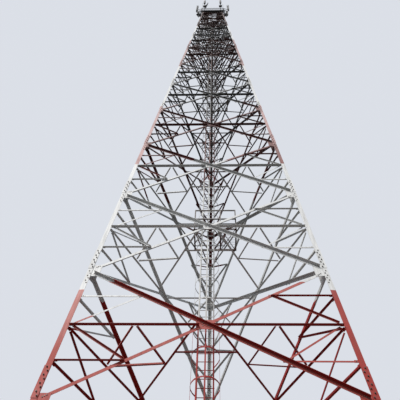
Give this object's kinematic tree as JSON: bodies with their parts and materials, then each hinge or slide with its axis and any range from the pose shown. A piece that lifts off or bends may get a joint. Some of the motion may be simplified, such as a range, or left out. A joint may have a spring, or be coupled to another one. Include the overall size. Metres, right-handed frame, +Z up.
{
  "type": "lattice radio mast, 1:2 scale model",
  "caption": "Self-supporting tapered lattice radio mast on a triangular plan, X braced, with a caged ladder, rest platforms and a head platform with antennas; 1:2 scale model.",
  "frame": {"origin": "centre of the underside of the back leg's foot plate", "axes": "+Z up the mast, -Y out of the front face, +X to the right seen from the front"},
  "size_m": [4.5786, 3.9652, 30.944],
  "materials": {
    "galvanised": "dull zinc",
    "paint_lower": "weathered red and white paint in bands",
    "paint_middle": "weathered red and white paint in bands",
    "paint_upper": "weathered red and white paint in bands",
    "ladder_paint": "weathered red and white paint in bands",
    "platform_steel": "worn paint with rust",
    "head_steel": "dull zinc",
    "antenna_plastic": "matt",
    "lamp": "gloss"
  },
  "bodies": {
    "root": {"antenna_pipes": "head_steel", "bracing_front_lower": "paint_lower", "bracing_front_middle": "paint_middle", "bracing_front_upper": "paint_upper", "bracing_left_lower": "paint_lower", "bracing_left_middle": "paint_middle", "bracing_left_upper": "paint_upper", "bracing_right_lower": "paint_lower", "bracing_right_middle": "paint_middle", "bracing_right_upper": "paint_upper", "cage_hoops": "ladder_paint", "cage_straps": "ladder_paint", "foot_plate_back": "galvanised", "foot_plate_front_left": "galvanised", "foot_plate_front_right": "galvanised", "head_platform": "head_steel", "head_railing": "head_steel", "ladder_rungs": "ladder_paint", "ladder_stringers": "ladder_paint", "leg_back_lower": "paint_lower", "leg_back_middle": "paint_middle", "leg_back_upper": "paint_upper", "leg_front_left_lower": "paint_lower", "leg_front_left_middle": "paint_middle", "leg_front_left_upper": "paint_upper", "leg_front_right_lower": "paint_lower", "leg_front_right_middle": "paint_middle", "leg_front_right_upper": "paint_upper", "lightning_rod": "head_steel", "obstruction_lamp": "lamp", "panel_antennas": "antenna_plastic", "plan_bracing_lower": "paint_lower", "plan_bracing_middle": "paint_middle", "plan_bracing_upper": "paint_upper", "rest_platform_lower": "platform_steel", "rest_platform_middle": "platform_steel", "rest_platform_upper": "platform_steel", "rest_railing_lower": "platform_steel", "rest_railing_middle": "platform_steel", "rest_railing_upper": "platform_steel"}
  },
  "joints": []
}
